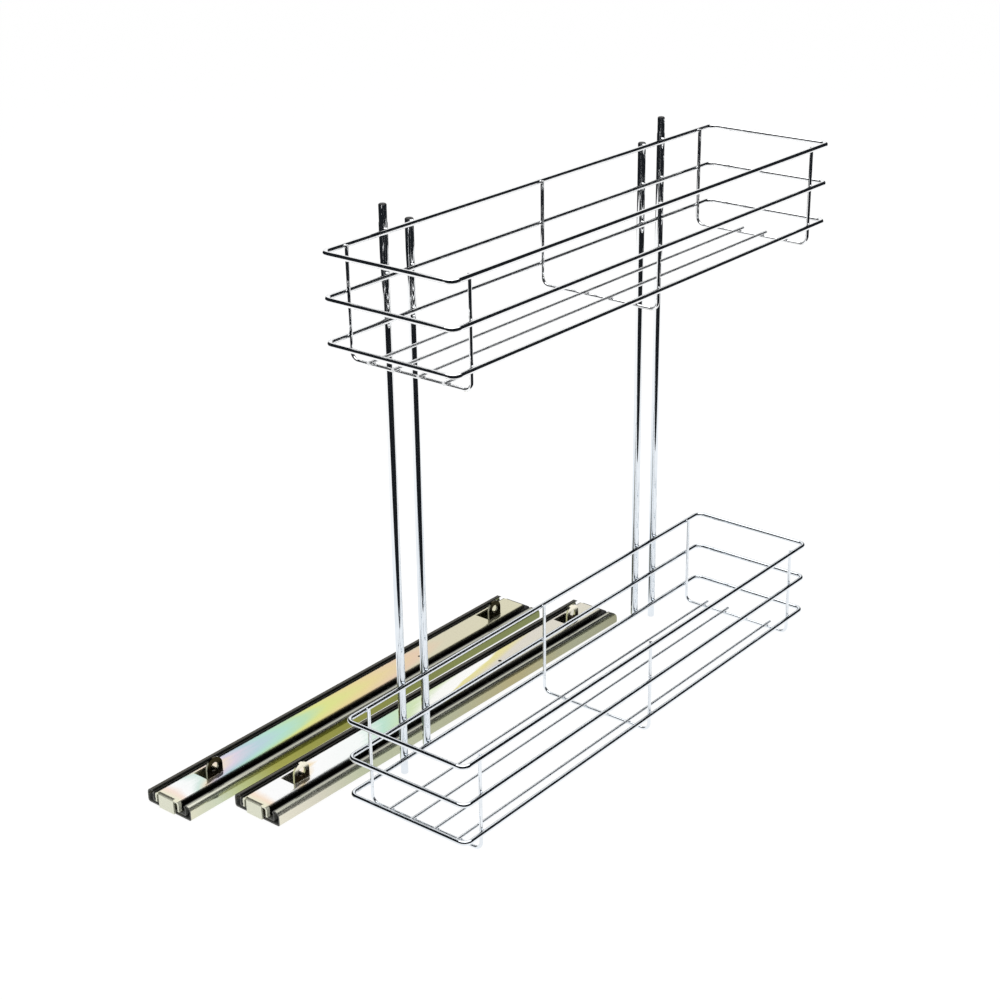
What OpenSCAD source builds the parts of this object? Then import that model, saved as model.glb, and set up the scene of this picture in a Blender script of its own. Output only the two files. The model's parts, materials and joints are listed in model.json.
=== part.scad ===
// Pull-out cabinet basket: a two-tier chromed wire basket on four uprights, and the pair of
// full-extension ball-bearing runners that carry it, laid on the floor beside it.
// X runs across the basket, Y from its front to its rear, and Z up from the floor.
// The origin lies on the floor, under the middle of the whole set.

/* [Basket] */
// Outside length of each basket
basket_len = 450; // [380:1:600]
// Outside width of each basket
basket_w = 110; // [104:1:240]
// Wire diameter of the rails
rail_d = 3.5; // [3:0.1:5]
// Height from one rail to the next, centre to centre
rail_pitch = 30; // [20:1:60]
// Bend radius of a rail's corner, to the middle of the wire
corner_r = 6; // [4:0.5:14]
// Height of the upper basket above the lower one
tier_pitch = 336.5; // [200:0.5:600]

/* [Legs and floor wires] */
// Wire diameter of the U-shaped legs
leg_d = 2.5; // [2:0.1:4]
// Drop from the bottom rail to a leg's cross wire, centre to centre
leg_drop = 15.25; // [11:0.25:25]
// Bend radius of a leg's foot, to the middle of the wire
leg_bend_r = 6; // [4:0.5:9]
// Distance of the end legs from the ends of the basket
leg_setback = 21.75; // [16:0.25:50]
// Height of a leg's tip above the middle of the top rail
leg_tip_rise = 1; // [0:0.25:1.5]
// Wire diameter of the floor wires
floor_wire_d = 2.5; // [2:0.1:4]
// Spacing of the four floor wires
floor_wire_pitch = 21; // [14:0.5:24]
// Length of a floor wire past the end legs
floor_overhang = 5; // [2:0.5:10]
// Depth to which two crossing wires melt into each other at a weld
weld_sink = 0.1; // [0.05:0.01:0.15]

/* [Uprights] */
// Diameter of the upright rods
rod_d = 6; // [5:0.1:8]
// Distance between the two outer rods, and between the two lugs of a runner
rod_span = 320; // [250:1:330]
// Distance from an outer rod to the inner rod beside it
rod_pair_gap = 25.5; // [15:0.5:60]
// Height of the outer rods above the middle of the topmost rail
outer_rod_rise = 17.5; // [12:0.5:40]
// Height of the outer rods' lower ends above the floor
rod_floor_gap = 1.5; // [0.5:0.5:6]
// Height of the inner rods above the middle of the topmost rail
inner_rod_rise = 2.5; // [1:0.5:10]
// Drop of the inner rods below the middle of the lowest rail
inner_rod_drop = 3; // [2:0.5:10]
// Chamfer at the ends of the rods
rod_chamfer = 0.6; // [0.2:0.1:1]
// Diameter of the outer rods' turned ends, which drop into the lugs
spigot_d = 5.5; // [4.8:0.1:6]
// Length of the outer rods' turned ends
spigot_len = 12; // [8:0.5:12]

/* [Runner] */
// Distance of a lug's middle from each end of its runner
lug_inset = 40; // [30:1:90]
// Width of a runner
runner_w = 45.4; // [42:0.1:50]
// Height of a runner, from the cabinet wall to the face of the drawer member
runner_h = 12.7; // [12:0.1:14]
// Sheet thickness of the cabinet channel
channel_t = 1.2; // [1:0.05:1.4]
// Height of the face above the lips of the cabinet channel
face_rise = 1.3; // [1:0.1:1.6]
// Width of the channel's lips, from the side wall to the free edge
lip_w = 5.6; // [5:0.1:6.5]
// Outside radius of the channel's lips
lip_r = 4.2; // [3:0.1:4.5]
// Outside radius where the channel's side walls meet its web
foot_r = 2; // [1.5:0.1:2.5]
// Radius of the cut-back rear corners of the channel's side walls
tail_r = 7; // [4:0.5:8]
// Sheet thickness of the middle member
middle_t = 1.2; // [1.1:0.05:1.3]
// Reach of the middle member's lips past its side walls
middle_lip = 0.7; // [0.3:0.1:1]
// Outside radius of the middle member's bends
middle_r = 1.6; // [1.4:0.1:2]
// Sheet thickness of the drawer member
inner_t = 1.5; // [1.2:0.05:1.6]
// Outside radius of the drawer member's bends
face_r = 3; // [2.5:0.1:3.5]
// Shortening of the middle and drawer members at the rear
member_inset = 8; // [6:0.5:12]
// Travel of each of a runner's two sliding stages
stage_travel = 200; // [120:1:220]

/* [Balls and cages] */
// Diameter of the bearing balls
ball_d = 4.5; // [4.2:0.1:4.6]
// Depth of a ball race in the sheet beside it
race_depth = 0.35; // [0.25:0.05:0.4]
// Play between a ball and its race
race_play = 0.08; // [0.06:0.01:0.1]
// Play between a ball and its pocket in the cage
pocket_play = 0.05; // [0.03:0.01:0.1]
// Sheet thickness of a ball cage
cage_t = 0.5; // [0.4:0.05:0.55]
// Height of a cage's sides above the middle of the balls
cage_rim = 2.6; // [2.4:0.1:2.8]
// Balls in each row
row_balls = 9; // [5:1:12]
// Distance from a cage's end to its first ball
ball_margin = 6; // [4:0.5:12]
// Gap between one nested member and the next
nest_gap = 0.3; // [0.25:0.05:0.35]

/* [Lugs and face] */
// Width of a lug along the runner
lug_w = 15; // [13:0.5:18]
// Height of a lug above the face
lug_h = 14.7; // [13:0.1:18]
// Diameter of the hole in a lug
lug_hole_d = 7; // [6.6:0.1:9]
// Distance of a lug's outer side from the middle of the runner
lug_offset = 6; // [4:0.5:7]
// Length of the window that a lug is pressed out of
window_len = 13; // [9:0.5:13.5]
// Relief at each side of a lug and of the front tab
window_relief = 0.4; // [0.2:0.1:0.8]
// Inside radius of the bends at the lugs and the front tab
fold_r = 0.8; // [0.4:0.1:1.2]
// Width of the turned-down tab that closes the front of the drawer member
front_tab_w = 15.5; // [12:0.5:17]
// Distance of the front tab's middle from the middle of the runner
front_tab_shift = 1.2; // [0:0.1:2]
// Height of the front tab's lower edge above the cabinet wall
front_tab_gap = 0.5; // [0.3:0.1:1]
// Width of the stop tab at the rear of the drawer member
rear_tab_w = 10; // [6:0.5:14]
// Diameter of the locating hole in the face
face_hole_d = 3; // [2:0.5:4]
// Distance of the locating hole ahead of the rear lug
face_hole_lead = 92; // [20:1:140]
// Distance of the locating hole from the middle of the runner
face_hole_x = 2.5; // [0:0.5:5]

/* [Channel holes and stops] */
// Diameter of the cabinet screw holes
screw_hole_d = 4.5; // [3.5:0.1:5.5]
// Diameter of the driver holes in the middle member
driver_hole_d = 9; // [7:0.5:11]
// Diameter of the pressed dimples that stop the cages
stop_d = 6; // [4:0.5:8]
// Height of the pressed dimples
stop_h = 0.5; // [0.4:0.05:0.5]
// Distance of a dimple's centre from the end of its member
stop_inset = 6; // [5:0.5:10]
// Length of the rubber buffer at the rear of the channel
buffer_len = 6; // [4:0.5:6]
// Width of the rubber buffer
buffer_w = 26; // [16:1:28]
// Height of the rubber buffer
buffer_h = 8; // [6:0.5:8]
// Rounding of the buffer's upper edges
buffer_r = 1.5; // [0.5:0.5:2]

/* [Layout of the set] */
// Gap between the two runners at their fronts
runner_gap = 9.6; // [8:0.1:60]
// Gap between the front of the right-hand runner and the rods
basket_gap = 20.9; // [16:0.1:120]
// Lead of the left-hand runner's channel ahead of the basket's front
left_lead = 74.2; // [0:0.1:200]
// Lead of the right-hand runner's channel ahead of the basket's front
right_lead = 41; // [0:0.1:200]
// Turn of the left-hand runner towards the basket, in degrees
left_turn = 0.6; // [0:0.1:1.6]
// Turn of the right-hand runner towards the basket, in degrees
right_turn = 1; // [0:0.1:2]

/* [Hidden] */
$fn = 48;

// Overrun of a cut past the face that it leaves
overrun = 1;

// Basket: places worked out from its own wires
rail_len = basket_len - rail_d;
rail_w = basket_w - rail_d;
leg_r = leg_d / 2;
lowest_rail_z = leg_drop + leg_r;
top_rail_rise = 2 * rail_pitch;
topmost_rail_z = lowest_rail_z + tier_pitch + top_rail_rise;
outer_rod_top_z = topmost_rail_z + outer_rod_rise;
inner_rod_low_z = lowest_rail_z - inner_rod_drop;
inner_rod_top_z = topmost_rail_z + inner_rod_rise;
leg_x = rail_w / 2 - (rail_d + leg_d) / 2 + weld_sink;
floor_wire_rise = (leg_d + floor_wire_d) / 2 - weld_sink;
floor_wire_shares = [-1.5, -0.5, 0.5, 1.5];

// Runner across: from the side wall inwards, through both ball rows
race_r = ball_d / 2 + race_play;
channel_in_x = runner_w / 2 - channel_t;
outer_ball_x = channel_in_x + race_depth - race_r;
middle_out_x = outer_ball_x - race_r + race_depth;
middle_in_x = middle_out_x - middle_t;
inner_ball_x = middle_in_x + race_depth - race_r;
drawer_out_x = inner_ball_x - race_r + race_depth;
drawer_in_x = drawer_out_x - inner_t;

// Runner upwards: from the cabinet wall, through both cage floors
outer_cage_z = channel_t + nest_gap;
middle_z = outer_cage_z + cage_t + nest_gap;
inner_cage_z = middle_z + middle_t + nest_gap;
drawer_z = inner_cage_z + cage_t + nest_gap;
ball_z = inner_cage_z + cage_t + ball_d / 2 + 2 * pocket_play;
channel_h = runner_h - face_rise;
middle_top_z = channel_h - channel_t - nest_gap;
rear_tab_z = middle_z + middle_t + nest_gap;

// Runner lengthwise: members, cages and stops
runner_len = rod_span + 2 * lug_inset;
member_len = runner_len - member_inset;
front_overhang = inner_t + nest_gap;
tab_fold_y = fold_r - nest_gap;
tab_fold_z = runner_h - fold_r - inner_t;
lug_ys = [lug_inset, runner_len - lug_inset];
screw_ys = [lug_ys[0], runner_len / 2, lug_ys[1]];
face_hole_y = lug_ys[1] - face_hole_lead;
cage_front_y = stop_inset + stop_d / 2 + nest_gap + stage_travel / 2;
outer_cage_end_y = member_len - stop_inset - stop_d / 2 - nest_gap - stage_travel / 2;
inner_cage_end_y = member_len - inner_t - nest_gap - stage_travel / 2;

// How far a turned runner reaches ahead of the basket's front, and behind it
function front_reach(lead, turn) =
    lead + front_overhang * cos(turn) + drawer_out_x * sin(turn);
function rear_reach(lead, turn) =
    runner_len * cos(turn) + runner_w / 2 * sin(turn) - lead;

// Layout: the whole set is centred on the origin in X and Y
rod_reach = rod_d - weld_sink;
left_reach = runner_w / 2 * cos(left_turn);
set_w = left_reach + runner_w / 2 + runner_w + runner_gap + basket_gap + rod_reach + basket_w;
left_runner_x = -set_w / 2 + left_reach;
right_runner_x = left_runner_x + runner_w + runner_gap;
basket_x = set_w / 2 - basket_w / 2;
rod_x = basket_x - basket_w / 2 - rod_d / 2 + weld_sink;
set_front = -max(0, front_reach(left_lead, left_turn), front_reach(right_lead, right_turn));
set_rear = max(
    basket_len, rear_reach(left_lead, left_turn), rear_reach(right_lead, right_turn)
);
basket_front_y = -(set_front + set_rear) / 2;
basket_y = basket_front_y + basket_len / 2;
leg_ys = [
    basket_front_y + leg_setback,
    basket_y,
    basket_front_y + basket_len - leg_setback
];
left_runner_y = basket_front_y - left_lead;
right_runner_y = basket_front_y - right_lead;

// A round bar along Y from its front end
module bar_y(d, len) {
    rotate([-90, 0, 0]) cylinder(d = d, h = len);
}

// A round bar along X, centred on its middle
module bar_x(d, len) {
    rotate([0, 90, 0]) cylinder(d = d, h = len, center = true);
}

// A quarter bend in the XY plane, from the X axis to the Y axis
module bend(d, r) {
    rotate_extrude(angle = 90) translate([r, 0]) circle(d = d);
}

// One rail: a closed rounded rectangle of wire
module rail(z) {
    straight_x = rail_w - 2 * corner_r;
    straight_y = rail_len - 2 * corner_r;
    color("gainsboro") translate([basket_x, basket_y, z]) {
        for (side = [-1, 1]) {
            translate([side * rail_w / 2, -straight_y / 2, 0]) bar_y(rail_d, straight_y);
            translate([0, side * rail_len / 2, 0]) bar_x(rail_d, straight_x);
        }
        for (corner = [0:3]) {
            along_x = corner == 0 || corner == 3 ? 1 : -1;
            along_y = corner < 2 ? 1 : -1;
            translate([along_x * straight_x / 2, along_y * straight_y / 2, 0])
                rotate([0, 0, 90 * corner]) bend(rail_d, corner_r);
        }
    }
}

// One leg: a U of wire inside the rails, whose cross wire is the basket's foot
module leg(tier_z, y) {
    cross_z = tier_z - leg_drop;
    upright = leg_drop + top_rail_rise + leg_tip_rise - leg_bend_r;
    color("gainsboro") translate([basket_x, y, cross_z]) {
        bar_x(leg_d, 2 * (leg_x - leg_bend_r));
        for (side = [-1, 1]) {
            translate([side * leg_x, 0, leg_bend_r]) cylinder(d = leg_d, h = upright);
            translate([side * (leg_x - leg_bend_r), 0, leg_bend_r])
                rotate([90, side > 0 ? 90 : 180, 0]) bend(leg_d, leg_bend_r);
        }
    }
}

// One floor wire, on top of the cross wires of the three legs
module floor_wire(tier_z, share) {
    wire_x = basket_x + share * floor_wire_pitch;
    start_y = leg_ys[0] - floor_overhang;
    color("gainsboro") translate([wire_x, start_y, tier_z - leg_drop + floor_wire_rise])
        bar_y(floor_wire_d, leg_ys[2] - leg_ys[0] + 2 * floor_overhang);
}

// One upright rod with chamfered ends, outside the rails of both baskets
module rod(from_middle, low_z, high_z, end_d) {
    tip_d = end_d - 2 * rod_chamfer;
    body_inset = end_d < rod_d ? rod_chamfer + spigot_len : rod_chamfer;
    len = high_z - low_z;
    color("gainsboro") translate([rod_x, basket_y + from_middle, low_z]) {
        cylinder(d1 = tip_d, d2 = end_d, h = rod_chamfer);
        translate([0, 0, rod_chamfer]) cylinder(d = end_d, h = len - 2 * rod_chamfer);
        translate([0, 0, body_inset]) cylinder(d = rod_d, h = len - 2 * body_inset);
        translate([0, 0, len - rod_chamfer]) cylinder(d1 = end_d, d2 = tip_d, h = rod_chamfer);
    }
}

// A box section with its own radius at the top and bottom corners, in the XZ plane
module section_box(half_w, low, high, low_r, high_r) {
    union() {
        for (side = [-1, 1]) {
            translate([side * (half_w - low_r), low + low_r]) circle(r = low_r);
            translate([side * (half_w - high_r), high - high_r]) circle(r = high_r);
        }
        translate([-half_w, low + low_r]) square([2 * half_w, high - low - low_r - high_r]);
        translate([-(half_w - low_r), low])
            square([2 * (half_w - low_r), high - low - high_r]);
        translate([-(half_w - high_r), low + low_r])
            square([2 * (half_w - high_r), high - low - low_r]);
    }
}

// A pair of ball races, cut where the two rows of balls run
module race_pair(x) {
    for (side = [-1, 1]) translate([side * x, ball_z]) circle(r = race_r);
}

// Stands a section in the XZ plane up along Y
module extrude_y(len) {
    translate([0, len, 0]) rotate([90, 0, 0]) linear_extrude(height = len) children();
}

// Cabinet channel's section: a web, two side walls with races, and two turned-in lips
module channel_section() {
    difference() {
        section_box(runner_w / 2, 0, channel_h, foot_r, lip_r);
        section_box(
            channel_in_x, channel_t, channel_h - channel_t, foot_r - channel_t, lip_r - channel_t
        );
        race_pair(outer_ball_x);
        translate([-(runner_w / 2 - lip_w), channel_h / 2])
            square([runner_w - 2 * lip_w, channel_h]);
    }
}

// Middle member's section: a shallow channel with races on both sides of its walls
module middle_section() {
    slot_half = middle_in_x - middle_lip;
    difference() {
        section_box(middle_out_x, middle_z, middle_top_z, middle_r, middle_r);
        section_box(
            middle_in_x, middle_z + middle_t, middle_top_z - middle_t,
            middle_r - middle_t, middle_r - middle_t
        );
        race_pair(outer_ball_x);
        race_pair(inner_ball_x);
        translate([-slot_half, ball_z]) square([2 * slot_half, runner_h]);
    }
}

// Drawer member's section: a flat face with two turned-down walls and their races
module drawer_section() {
    inside_r = face_r - inner_t;
    difference() {
        section_box(drawer_out_x, 0, runner_h, face_r, face_r);
        section_box(drawer_in_x, 0, runner_h - inner_t, inside_r, inside_r);
        race_pair(inner_ball_x);
        translate([-runner_w / 2, drawer_z - runner_h]) square([runner_w, runner_h]);
    }
}

// A cutter that rounds back the upper rear corner of the channel's side walls
module tail_cut() {
    translate([0, runner_len - tail_r, channel_h - tail_r]) difference() {
        translate([-runner_w, 0, 0]) cube([2 * runner_w, tail_r + overrun, tail_r + overrun]);
        bar_x(2 * tail_r, 3 * runner_w);
    }
}

// The fixed channel that is screwed to the cabinet's side
module channel() {
    color("khaki") {
        difference() {
            extrude_y(runner_len) channel_section();
            tail_cut();
            for (hole_y = screw_ys)
                translate([0, hole_y, -overrun])
                    cylinder(d = screw_hole_d, h = channel_t + 2 * overrun);
        }
        translate([0, stop_inset, channel_t - weld_sink])
            cylinder(d = stop_d, h = stop_h + weld_sink);
    }
}

// The rubber buffer that the closed members rest against
module rear_buffer() {
    color("dimgray") translate([0, member_len + nest_gap, channel_t])
        extrude_y(buffer_len) translate([0, -buffer_r])
            intersection() {
                section_box(buffer_w / 2, 0, buffer_h + buffer_r, buffer_r, buffer_r);
                translate([-buffer_w, buffer_r]) square([2 * buffer_w, buffer_h]);
            }
}

// The member between the channel and the drawer member
module middle_member() {
    color("khaki") {
        difference() {
            extrude_y(member_len) middle_section();
            for (hole_y = screw_ys)
                translate([0, hole_y, middle_z - overrun])
                    cylinder(d = driver_hole_d, h = middle_t + 2 * overrun);
        }
        translate([0, stop_inset, middle_z + middle_t - weld_sink])
            cylinder(d = stop_d, h = stop_h + weld_sink);
        translate([0, member_len - stop_inset, middle_z - stop_h])
            cylinder(d = stop_d, h = stop_h + weld_sink);
    }
}

// A bend of the drawer member's sheet, level at one side and upright at the other
module fold(width) {
    outer_r = fold_r + inner_t;
    translate([0, width / 2, 0]) rotate([90, 0, 0]) linear_extrude(height = width)
        intersection() {
            difference() {
                circle(r = outer_r);
                circle(r = fold_r);
            }
            translate([-outer_r, -outer_r]) square(outer_r);
        }
}

// The window that a lug is pressed out of
module lug_window(y) {
    translate([lug_offset - inner_t - window_len, y - lug_w / 2 - window_relief, drawer_z])
        cube([window_len + inner_t + fold_r, lug_w + 2 * window_relief, runner_h]);
}

// A pressed-up lug with a bent root and a round head, in which a rod end sits
module lug(y) {
    root_z = runner_h + fold_r;
    head_z = runner_h + lug_h - lug_w / 2;
    translate([lug_offset + fold_r, y, root_z]) fold(lug_w);
    difference() {
        union() {
            translate([lug_offset - inner_t, y - lug_w / 2, root_z])
                cube([inner_t, lug_w, head_z - root_z]);
            translate([lug_offset - inner_t / 2, y, head_z]) bar_x(lug_w, inner_t);
        }
        translate([lug_offset - inner_t / 2, y, head_z])
            bar_x(lug_hole_d, inner_t + 2 * overrun);
    }
}

// The notch that the front tab is bent down in
module tab_notch() {
    translate([
        -front_tab_shift - front_tab_w / 2 - window_relief,
        -front_overhang - overrun,
        drawer_z
    ])
        cube([
            front_tab_w + 2 * window_relief, overrun + front_overhang + tab_fold_y, runner_h
        ]);
}

// The tab that is bent down in front of the cabinet channel
module front_tab() {
    translate([-front_tab_shift, tab_fold_y, tab_fold_z]) rotate([180, 0, 90]) fold(front_tab_w);
    translate([-front_tab_shift - front_tab_w / 2, -front_overhang, front_tab_gap])
        cube([front_tab_w, inner_t, tab_fold_z - front_tab_gap]);
}

// The sliding member that carries the basket by its two lugs
module drawer_member() {
    color("palegoldenrod") {
        difference() {
            translate([0, -front_overhang, 0])
                extrude_y(member_len + front_overhang) drawer_section();
            tab_notch();
            for (lug_y = lug_ys) lug_window(lug_y);
            translate([face_hole_x, face_hole_y, drawer_z])
                cylinder(d = face_hole_d, h = runner_h);
        }
        for (lug_y = lug_ys) lug(lug_y);
        front_tab();
        translate([-rear_tab_w / 2, member_len - inner_t, rear_tab_z])
            cube([rear_tab_w, inner_t, runner_h - inner_t / 2 - rear_tab_z]);
    }
}

// Distance between two balls in a row of a cage
function ball_step(len) = (len - 2 * ball_margin) / (row_balls - 1);

// A cage: a thin strip floor with two upright sides that hold the balls in pockets
module cage(end_y, ball_x, floor_z) {
    len = end_y - cage_front_y;
    side_out_x = ball_x + cage_t / 2;
    color("darkgray") translate([0, cage_front_y, 0]) difference() {
        extrude_y(len) difference() {
            translate([-side_out_x, floor_z])
                square([2 * side_out_x, ball_z + cage_rim - floor_z]);
            translate([-(side_out_x - cage_t), floor_z + cage_t])
                square([2 * (side_out_x - cage_t), runner_h]);
        }
        for (index = [0:row_balls - 1])
            translate([0, ball_margin + index * ball_step(len), ball_z])
                bar_x(ball_d + 2 * pocket_play, 2 * side_out_x + 2 * overrun);
    }
}

// The two rows of balls in a cage
module ball_rows(end_y, ball_x) {
    len = end_y - cage_front_y;
    color("silver") for (side = [-1, 1], index = [0:row_balls - 1])
        translate([side * ball_x, cage_front_y + ball_margin + index * ball_step(len), ball_z])
            sphere(d = ball_d);
}

// Lays a piece of the left-hand or the right-hand runner in its place on the floor
module lay_left() {
    translate([left_runner_x, left_runner_y, 0]) rotate([0, 0, -left_turn]) children();
}
module lay_right() {
    translate([right_runner_x, right_runner_y, 0]) rotate([0, 0, -right_turn]) children();
}

// Rails of both baskets
module lower_bottom_rail() { rail(lowest_rail_z); }
module lower_middle_rail() { rail(lowest_rail_z + rail_pitch); }
module lower_top_rail() { rail(lowest_rail_z + top_rail_rise); }
module upper_bottom_rail() { rail(lowest_rail_z + tier_pitch); }
module upper_middle_rail() { rail(lowest_rail_z + tier_pitch + rail_pitch); }
module upper_top_rail() { rail(topmost_rail_z); }

// Legs of both baskets
module lower_front_leg() { leg(lowest_rail_z, leg_ys[0]); }
module lower_centre_leg() { leg(lowest_rail_z, leg_ys[1]); }
module lower_rear_leg() { leg(lowest_rail_z, leg_ys[2]); }
module upper_front_leg() { leg(lowest_rail_z + tier_pitch, leg_ys[0]); }
module upper_centre_leg() { leg(lowest_rail_z + tier_pitch, leg_ys[1]); }
module upper_rear_leg() { leg(lowest_rail_z + tier_pitch, leg_ys[2]); }

// Floor wires of both baskets, counted from the side with the rods
module lower_floor_wire_1() { floor_wire(lowest_rail_z, floor_wire_shares[0]); }
module lower_floor_wire_2() { floor_wire(lowest_rail_z, floor_wire_shares[1]); }
module lower_floor_wire_3() { floor_wire(lowest_rail_z, floor_wire_shares[2]); }
module lower_floor_wire_4() { floor_wire(lowest_rail_z, floor_wire_shares[3]); }
module upper_floor_wire_1() { floor_wire(lowest_rail_z + tier_pitch, floor_wire_shares[0]); }
module upper_floor_wire_2() { floor_wire(lowest_rail_z + tier_pitch, floor_wire_shares[1]); }
module upper_floor_wire_3() { floor_wire(lowest_rail_z + tier_pitch, floor_wire_shares[2]); }
module upper_floor_wire_4() { floor_wire(lowest_rail_z + tier_pitch, floor_wire_shares[3]); }

// Upright rods, front to rear
module front_outer_rod() { rod(-rod_span / 2, rod_floor_gap, outer_rod_top_z, spigot_d); }
module front_inner_rod() {
    rod(rod_pair_gap - rod_span / 2, inner_rod_low_z, inner_rod_top_z, rod_d);
}
module rear_inner_rod() {
    rod(rod_span / 2 - rod_pair_gap, inner_rod_low_z, inner_rod_top_z, rod_d);
}
module rear_outer_rod() { rod(rod_span / 2, rod_floor_gap, outer_rod_top_z, spigot_d); }

// Left-hand runner
module left_channel() { lay_left() channel(); }
module left_rear_buffer() { lay_left() rear_buffer(); }
module left_middle_member() { lay_left() middle_member(); }
module left_drawer_member() { lay_left() drawer_member(); }
module left_outer_cage() { lay_left() cage(outer_cage_end_y, outer_ball_x, outer_cage_z); }
module left_outer_balls() { lay_left() ball_rows(outer_cage_end_y, outer_ball_x); }
module left_inner_cage() { lay_left() cage(inner_cage_end_y, inner_ball_x, inner_cage_z); }
module left_inner_balls() { lay_left() ball_rows(inner_cage_end_y, inner_ball_x); }

// Right-hand runner
module right_channel() { lay_right() channel(); }
module right_rear_buffer() { lay_right() rear_buffer(); }
module right_middle_member() { lay_right() middle_member(); }
module right_drawer_member() { lay_right() drawer_member(); }
module right_outer_cage() { lay_right() cage(outer_cage_end_y, outer_ball_x, outer_cage_z); }
module right_outer_balls() { lay_right() ball_rows(outer_cage_end_y, outer_ball_x); }
module right_inner_cage() { lay_right() cage(inner_cage_end_y, inner_ball_x, inner_cage_z); }
module right_inner_balls() { lay_right() ball_rows(inner_cage_end_y, inner_ball_x); }

lower_bottom_rail();
lower_middle_rail();
lower_top_rail();
upper_bottom_rail();
upper_middle_rail();
upper_top_rail();
lower_front_leg();
lower_centre_leg();
lower_rear_leg();
upper_front_leg();
upper_centre_leg();
upper_rear_leg();
lower_floor_wire_1();
lower_floor_wire_2();
lower_floor_wire_3();
lower_floor_wire_4();
upper_floor_wire_1();
upper_floor_wire_2();
upper_floor_wire_3();
upper_floor_wire_4();
front_outer_rod();
front_inner_rod();
rear_inner_rod();
rear_outer_rod();
left_channel();
left_rear_buffer();
left_middle_member();
left_drawer_member();
left_outer_cage();
left_outer_balls();
left_inner_cage();
left_inner_balls();
right_channel();
right_rear_buffer();
right_middle_member();
right_drawer_member();
right_outer_cage();
right_outer_balls();
right_inner_cage();
right_inner_balls();
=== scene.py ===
"""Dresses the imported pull-out cabinet basket and its two runners, in a studio of their own."""

import json
import logging
import math
from dataclasses import dataclass
from enum import Enum
from typing import ClassVar

import bmesh
import bpy
from mathutils import Matrix, Vector


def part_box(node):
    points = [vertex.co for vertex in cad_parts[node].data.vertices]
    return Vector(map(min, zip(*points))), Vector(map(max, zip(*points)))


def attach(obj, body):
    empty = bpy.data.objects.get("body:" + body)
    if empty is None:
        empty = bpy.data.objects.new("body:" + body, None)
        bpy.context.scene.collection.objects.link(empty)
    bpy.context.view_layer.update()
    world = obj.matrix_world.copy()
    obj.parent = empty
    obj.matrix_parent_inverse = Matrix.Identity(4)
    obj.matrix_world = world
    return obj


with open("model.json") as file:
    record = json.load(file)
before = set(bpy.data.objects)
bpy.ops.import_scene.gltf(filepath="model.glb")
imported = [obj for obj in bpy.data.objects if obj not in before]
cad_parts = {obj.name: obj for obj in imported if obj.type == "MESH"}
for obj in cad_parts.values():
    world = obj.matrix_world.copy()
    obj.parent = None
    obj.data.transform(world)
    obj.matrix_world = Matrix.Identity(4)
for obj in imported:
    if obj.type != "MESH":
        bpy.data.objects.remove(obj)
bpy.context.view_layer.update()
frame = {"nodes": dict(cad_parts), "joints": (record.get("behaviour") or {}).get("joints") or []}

LOG = logging.getLogger("basket")
BODY = "basket_and_channels"
Triple = tuple[float, float, float]
Colour = Triple
Film = tuple[tuple[float, Colour], ...]

# The curve between the values of a screen and linear ones
SCREEN_TOE = 0.04045
SCREEN_SLOPE = 12.92
SCREEN_OFFSET = 0.055
SCREEN_GAMMA = 2.4

# Sockets of a mix node, whose names repeat for each type of value
MIX_FACTOR = 0
MIX_VALUES = (2, 3)
MIX_COLOURS = (6, 7)
MIXED_VALUE = 0
MIXED_COLOUR = 2

# A value past every place on a runner, in metres, and past every value of AHEAD
BEYOND = 10.0
# Turns a value that grows to the rear into one that grows to the front
FORWARDS = -1.0
# How finely a weld nugget is rounded
NUGGET_SUBDIVISIONS = 2


def linear(red: int, green: int, blue: int) -> Colour:
    """Turns a colour written as on a screen into the linear values that a shader takes.

    Args:
        red: Red from 0 to 255.
        green: Green from 0 to 255.
        blue: Blue from 0 to 255.

    Returns:
        The linear red, green and blue.
    """
    def one(value: int) -> float:
        """Turns one of them linear.

        Args:
            value: It, from 0 to 255.

        Returns:
            Its linear value.
        """
        share = value / 255
        if share <= SCREEN_TOE:
            return share / SCREEN_SLOPE
        return ((share + SCREEN_OFFSET) / (1 + SCREEN_OFFSET)) ** SCREEN_GAMMA

    return one(red), one(green), one(blue)


class Tier(Enum):
    """The two baskets, named as their CAD nodes are."""

    LOWER = "lower"
    UPPER = "upper"


class Side(Enum):
    """The two runners, named as their CAD nodes are."""

    LEFT = "left"
    RIGHT = "right"


class Axis(Enum):
    """The ways in which a place on a runner is measured.

    ASIDE is ACROSS to either side, and AHEAD is 1 where a face looks straight to the front.
    """

    ACROSS = "across"
    ALONG = "along"
    UP = "up"
    ASIDE = "aside"
    AHEAD = "ahead"


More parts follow.
